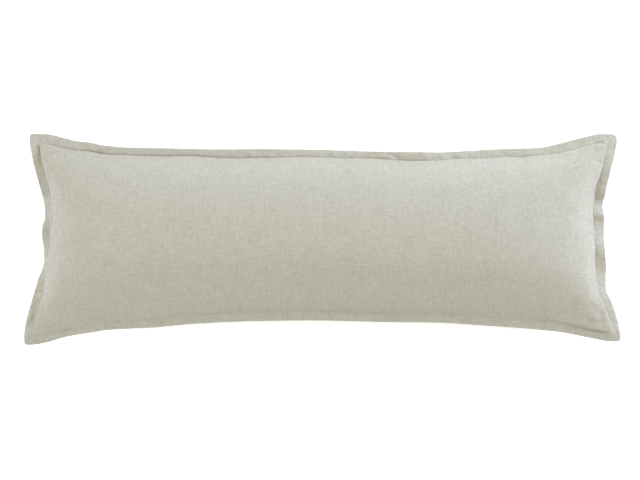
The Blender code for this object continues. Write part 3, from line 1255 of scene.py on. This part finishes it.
@dataclass
class Border:
    """The flat border of doubled linen: a closed ring with a rolled edge and soft waves.

    Args:
        outline: The pillow's outline.
        creases: Small troughs and ridges in it.
        step: Distance from column to column along it.
        crowding: How much closer together the columns are towards the corners.
        seam_round: How round the seam's corners are.
        corner_zone: How far from a corner the columns take to stand square to the seam.
        sinks_in: How far from a corner the border is sunk in full beside the seam.
        width: Its mean width from the seam to its edge.
        stitch_inset: How far out from the seam the topstitching runs.
        roll: Radius of its rolled edge.
        roll_turn: Turn of the roll's points over and under its outermost one, in degrees.
        bends_early: The lower it is, the closer to the seam the border bends up or down.
        slant: How far the finest gathers slant.
        fine_gathers: The finest gathers from its seam.
        small_gathers: Longer ones, which slant the other way.
        long_waves: The waves of its edge.
        gather_shares: Shares of the width by which the gathers are full, from which they fade,
            and by which they are gone.
        stations: Shares of the width, and half the border's thickness there, in millimetres.
    """

    outline: Outline
    creases: tuple[Crease, ...] = BORDER_CREASES
    step: float = 1.6 * MM
    crowding: float = 0.1
    seam_round: float = 2.5 * MM
    corner_zone: float = 40 * MM
    sinks_in: float = 20 * MM
    width: float = 18 * MM
    stitch_inset: float = 2.4 * MM
    roll: float = 1.05 * MM
    roll_turn: float = 55
    bends_early: float = 0.7
    slant: float = 0.6
    fine_gathers: Unevenness = Unevenness(13, 10 * MM, 0.28 * MM)
    small_gathers: Unevenness = Unevenness(14, 21 * MM, 0.35 * MM)
    long_waves: Unevenness = Unevenness(11, 46 * MM, 0.3 * MM)
    gather_shares: Triple = (0.15, 0.65, 1.15)
    stations: Stations = (
        (-0.06, 0.75), (0.02, 0.8), (0.09, 0.74), (0.15, 0.68), (0.21, 0.85), (0.28, 1.0),
        (0.36, 1.1), (0.44, 1.17), (0.52, 1.2), (0.60, 1.2), (0.68, 1.18), (0.76, 1.15),
        (0.84, 1.1), (0.93, 1.05),
    )

    def side_columns(self, side: Side) -> tuple[Array, Array]:
        """Inner and outer points of the columns along a side, from its first corner.

        Args:
            side: The side of the pillow.

        Returns:
            Rows of the inner and of the outer points. The last corner is left to the next side.
        """
        line = self.outline
        outer_start, outer_end = line.ends(side, on_seam=False)
        inner_start, inner_end = line.ends(side, on_seam=True)
        length = outer_end - outer_start
        count = int(round(length / self.step))
        even = np.linspace(-1, 1, count + 1)
        crowded = (1 - self.crowding) * even + self.crowding * np.sin(0.5 * math.pi * even)
        run = length * (0.5 + 0.5 * crowded)
        first = run < length / 2
        near = np.where(first, run, length - run)
        rounds = [CORNER_ROUNDS[frozenset({side, beside})] for beside in side.neighbours]
        near_edge, turned_in = rounded(near, np.where(first, *rounds))
        place = np.where(first, outer_start + near_edge, outer_end - near_edge)
        outer = line.plan(side, place, turned_in)
        lift = read_along(line.hems[side].lift, place)
        outer = np.column_stack([outer, line.seam_height(outer) + lift])
        gap = np.where(first, inner_start - outer_start, outer_end - inner_end)
        zone = self.corner_zone
        eased = (1 - 2 * gap / zone) * near + gap / zone**2 * near**2
        near_seam, turned_in = rounded(np.where(near < zone, eased, near - gap), self.seam_round)
        place = np.where(first, inner_start + near_seam, inner_end - near_seam)
        inner = line.plan(side, place, line.width(side, place) + turned_in)
        sunk = line.hems[side].sinks * MM * ease(near_seam / self.sinks_in)
        inner = np.column_stack([inner, line.seam_height(inner) - sunk])
        if side in (Side.TOP, Side.LEFT):
            inner, outer = inner[::-1], outer[::-1]
        return inner[:-1], outer[:-1]

    def middle(self) -> tuple[Array, Array]:
        """The border's middle surface between its two layers.

        Returns:
            Its points, column by column and across each, and the way up there.
        """
        parts = [self.side_columns(side) for side in Side]
        inner = np.concatenate([part[0] for part in parts])
        outer = np.concatenate([part[1] for part in parts])
        steps = np.linalg.norm(np.roll(inner, -1, 0) - inner, axis=1)
        run = np.concatenate([[0], np.cumsum(steps)[:-1]])
        shares = np.array([share for share, _ in self.stations])
        points = inner[:, None] + (outer - inner)[:, None] * shares[None, :, None]
        reach = np.sign(shares) * np.abs(shares) ** self.bends_early
        height = inner[:, None, 2] + (outer - inner)[:, None, 2] * reach[None, :]
        out = self.width * shares[None, :]
        gathers = self.fine_gathers.at(run[:, None] + out * self.slant)
        gathers += self.small_gathers.at(run[:, None] - out)
        full, fades, gone = self.gather_shares
        height += gathers * ease(shares / full) * ease((gone - shares) / (gone - fades))
        height += self.long_waves.at(run)[:, None] * shares[None, :]
        points[..., 2] = height - crease_depth(self.creases, points[..., :2])
        along = np.roll(points, -1, 0) - np.roll(points, 1, 0)
        across = np.gradient(points, axis=1)
        up = np.cross(across, along)
        up /= np.linalg.norm(up, axis=2, keepdims=True)
        return points, up * np.sign(up[..., 2:])

    def build(self, finish: Linen) -> bpy.types.Object:
        """Makes the border.

        Args:
            finish: The cloth that it is made of.

        Returns:
            The border, standing for the flange.
        """
        points, up = self.middle()
        half = np.array([thick for _, thick in self.stations])[None, :, None] * MM
        top, low = points + up * half, points - up * half
        outward = points[:, -1] - points[:, -2]
        outward /= np.linalg.norm(outward, axis=1, keepdims=True)
        roll = []
        for angle in (self.roll_turn, 0, -self.roll_turn):
            turned = math.radians(angle)
            reach = outward * self.roll * math.cos(turned)
            roll.append(points[:, -1] + reach + up[:, -1] * self.roll * math.sin(turned))
        ring = np.concatenate([top, np.stack(roll, 1), low[:, ::-1]], axis=1)
        columns, around = ring.shape[:2]
        index = np.arange(columns * around).reshape(columns, around)
        after, beside = np.roll(index, -1, 0), np.roll(index, -1, 1)
        both = np.roll(after, -1, 1)
        faces = np.stack([index, beside, both, after], -1).reshape(-1, 4)
        cloth = ring[..., :2].reshape(-1, 2).copy()
        below = np.arange(around) >= around - len(self.stations)
        cloth[np.tile(below, columns), 0] += BACK_CLOTH
        made = new_piece("border_cloth", ring.reshape(-1, 3), faces, cloth)
        made.data.materials.append(finish.material("border_linen"))
        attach(made, "root")
        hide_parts("flange")
        return made

    def stitch_line(self) -> tuple[Array, Array, Array, float]:
        """The line that the topstitching follows.

        Returns:
            Its points and the way up there, how far each lies along it, and half the
            border's thickness there.
        """
        points, up = self.middle()
        shares = [share for share, _ in self.stations]
        column = int(np.argmin(np.abs(np.array(shares) * self.width - self.stitch_inset)))
        line = np.concatenate([points[:, column], points[:1, column]])
        normal = np.concatenate([up[:, column], up[:1, column]])
        run = np.concatenate([[0], np.cumsum(np.linalg.norm(np.diff(line, axis=0), axis=1))])
        return line, normal, run, self.stations[column][1] * MM


@dataclass
class Topstitch:
    """The line of stitches that closes the border off from the filling, front and back.

    Args:
        border: The border that it is sewn through.
        pitch: Distance from stitch to stitch.
        length: Length of the thread that shows in each.
        thread: Half the thread's thickness.
        stands: How far a stitch's middle stands out of the cloth, as a share of that.
        dives: How far its ends dive from there, as a share of it.
        thins: How much its ends thin out.
        rings: Rings of points along a stitch.
        around: Points round each ring.
    """

    border: Border
    pitch: float = 3.1 * MM
    length: float = 2.5 * MM
    thread: float = 0.24 * MM
    stands: float = 0.35
    dives: float = 0.8
    thins: float = 0.75
    rings: int = 5
    around: int = 6

    def build(self, finish: Thread) -> bpy.types.Object:
        """Makes all the stitches as one piece.

        Args:
            finish: The thread.

        Returns:
            The stitches.
        """
        line, normal, run, half = self.border.stitch_line()
        shares = np.linspace(-1, 1, self.rings)
        count = int(run[-1] / self.pitch)
        centres = (np.arange(count) + 0.5) * run[-1] / count
        places = np.clip(centres[:, None] + shares * self.length / 2, 0, run[-1])
        middle, up = (
            np.stack([np.interp(places, run, part[:, k]) for k in range(3)], -1)
            for part in (line, normal)
        )
        out = half + self.thread * (self.stands - self.dives * shares**4)
        middle = np.concatenate([middle + face.value * up * out[:, None] for face in Face])
        up = np.concatenate([up] * len(Face))
        points = self.threads(middle, up, self.thread * np.sqrt(1 - self.thins * shares**2))
        made = new_piece("topstitch", points.reshape(-1, 3), self.faces(len(middle)))
        made.data.materials.append(finish.material("topstitch_thread"))
        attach(made, "root")
        return made

    def threads(self, middle: Array, up: Array, thickness: Array) -> Array:
        """The points round each stitch's thread.

        Args:
            middle: The middle of each ring, stitch by stitch.
            up: The way up there.
            thickness: Half the thread's thickness at each ring of a stitch.

        Returns:
            The points, stitch by stitch, ring by ring and round each ring.
        """
        ahead = middle[:, -1] - middle[:, 0]
        ahead /= np.linalg.norm(ahead, axis=1, keepdims=True)
        beside = np.cross(ahead[:, None], up)
        angles = 2 * math.pi * np.arange(self.around)[:, None] / self.around
        offset = beside[:, :, None] * np.cos(angles) + up[:, :, None] * np.sin(angles)
        return middle[:, :, None] + offset * thickness[:, None, None]

    def faces(self, count: int) -> Array:
        """The faces round the threads and over their ends.

        Args:
            count: How many stitches there are.

        Returns:
            The faces.
        """
        index = np.arange(count * self.rings * self.around).reshape(count, self.rings, self.around)
        after = np.roll(index, -1, 2)
        walls = np.stack([index[:, :-1], after[:, :-1], after[:, 1:], index[:, 1:]], -1)
        parts = [walls.reshape(-1, 4)]
        start_caps, end_caps = ((0, 3, 2, 1), (0, 5, 4, 3)), ((0, 1, 2, 3), (0, 3, 4, 5))
        for ring, orders in ((0, start_caps), (-1, end_caps)):
            parts += [index[:, ring][:, order] for order in orders]
        return np.concatenate(parts)


@dataclass(frozen=True)
class Lamp:
    """One soft, round light.

    Args:
        name: Its name.
        azimuth: The way that it hangs round the pillow, in degrees from X.
        elevation: How high it hangs there, in degrees.
        power: Its power, in watts.
        tint: Its colour.
        distance: How far it is from the frame's origin.
        width: How wide it is.
    """

    name: str
    azimuth: float
    elevation: float
    power: float
    tint: Triple = (1, 1, 1)
    distance: float = 3.0
    width: float = 1.6


@dataclass
class Studio:
    """The pale floor, the soft lights and the camera over the pillow.

    Args:
        aim: The point that the camera looks at.
        distance: How far the camera is from it.
        lean: How far the camera leans from straight above, towards the pillow's lower side.
        lens: Focal length, in millimetres.
        sensor: Width of the camera's sensor, in millimetres.
        clip: The nearest and the farthest that the camera sees.
        lamps: The lights.
        sky: Strength of the room's even light.
        sky_tint: Its colour.
        floor_glow: Light that the floor gives off itself.
        floor_tone: How pale the floor is.
        floor_roughness: Its roughness.
        floor_reach: Half its size.
        floor_drop: How far it lies under the pillow.
    """

    aim: Triple = (-4.5 * MM, -3 * MM, 67 * MM)
    distance: float = 2.5
    lean: float = math.radians(6)
    lens: float = 82.7
    sensor: float = 36
    clip: Pair = (0.1, 50)
    lamps: tuple[Lamp, ...] = (
        Lamp("key", 20, 32, 66.5, tint=(0.93, 0.96, 1.12)),
        Lamp("low", 45, 14, 34.5, tint=(0.73, 0.93, 1.4)),
        Lamp("top", 90, 26, 12.4, tint=(1.04, 1.04, 0.9)),
        Lamp("left", 180, 14, 57.6, tint=(0.92, 0.96, 1.14)),
        Lamp("front", 245, 60, 28.4, tint=(0.94, 0.98, 1.1)),
        Lamp("zenith", 0, 88, 16.7, tint=(1.19, 1.13, 0.65)),
    )
    sky: float = 0.2
    sky_tint: Triple = (1.15, 1.0, 0.7)
    floor_glow: float = 0.4
    floor_tone: float = 0.92
    floor_roughness: float = 0.95
    floor_reach: float = 40.0
    floor_drop: float = 0.3 * MM

    def add_lamp(self, lamp: Lamp) -> None:
        """Hangs one lamp, aimed at the pillow.

        Args:
            lamp: The lamp.
        """
        data = bpy.data.lights.new(lamp.name, "AREA")
        data.shape = "DISK"
        data.size = lamp.width
        data.energy = lamp.power
        data.color = lamp.tint
        made = bpy.data.objects.new(lamp.name, data)
        turn, rise = math.radians(lamp.azimuth), math.radians(lamp.elevation)
        out = Vector((math.cos(turn) * math.cos(rise), math.sin(turn) * math.cos(rise), math.sin(rise)))
        made.location = out * lamp.distance
        made.rotation_euler = (-out).to_track_quat("-Z", "Y").to_euler()
        bpy.context.scene.collection.objects.link(made)

    def add_floor(self) -> None:
        """Lays the floor, just under the pillow."""
        signs = np.array([(-1, -1), (1, -1), (1, 1), (-1, 1)])
        corners = np.column_stack([signs * self.floor_reach, np.full(4, -self.floor_drop)])
        floor = new_piece("floor", corners, np.array([[0, 1, 2, 3]]))
        material, bench, shader = new_material("floor_paper")
        bench.fill(
            shader,
            Base_Color=(*[self.floor_tone] * 3, 1),
            Roughness=self.floor_roughness,
            Emission_Color=(1, 1, 1, 1),
            Emission_Strength=self.floor_glow,
        )
        floor.data.materials.append(material)

    def add_sky(self) -> None:
        """Fills the room with even light."""
        world = bpy.data.worlds.new("room")
        world.use_nodes = True
        backdrop = world.node_tree.nodes["Background"]
        backdrop.inputs["Color"].default_value = (*self.sky_tint, 1)
        backdrop.inputs["Strength"].default_value = self.sky
        bpy.context.scene.world = world

    def add_camera(self) -> None:
        """Sets the camera over the pillow's face."""
        data = bpy.data.cameras.new("camera")
        data.lens = self.lens
        data.sensor_width = self.sensor
        data.clip_start, data.clip_end = self.clip
        camera = bpy.data.objects.new("camera", data)
        back = Vector((0, -math.sin(self.lean), math.cos(self.lean)))
        camera.location = Vector(self.aim) + back * self.distance
        camera.rotation_euler = (self.lean, 0, 0)
        bpy.context.scene.collection.objects.link(camera)
        bpy.context.scene.camera = camera

    def build(self) -> None:
        """Makes the whole studio."""
        self.add_floor()
        self.add_sky()
        for lamp in self.lamps:
            self.add_lamp(lamp)
        self.add_camera()
        bpy.context.scene.view_settings.view_transform = "Standard"


def report(piece: bpy.types.Object) -> None:
    """Logs a piece's name, its triangles and its size.

    Args:
        piece: The piece.
    """
    data = piece.data
    data.calc_loop_triangles()
    size = " x ".join(f"{side / MM:.1f}" for side in piece.dimensions)
    LOG.info("%s: %d triangles, %s mm", piece.name, len(data.loop_triangles), size)


def main() -> None:
    """Builds the pillow and its studio in order."""
    logging.basicConfig(level=logging.INFO, format="%(name)s: %(message)s")
    Studio().build()
    flange_low, flange_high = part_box("flange")
    _, body_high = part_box("cushion_body")
    outline = Outline(corner=((flange_high.x - flange_low.x) / 2, HALF_WIDTH), seam_z=SEAM_Z)
    linen = Linen()
    cover = Cover(outline, crown=body_high.z - SEAM_Z - CROWN_SPARE)
    report(cover.build(linen))
    border = Border(outline)
    border_cloth = border.build(linen)
    report(border_cloth)
    stitches = Topstitch(border).build(Thread())
    report(stitches)


if __name__ == "__main__":
    main()
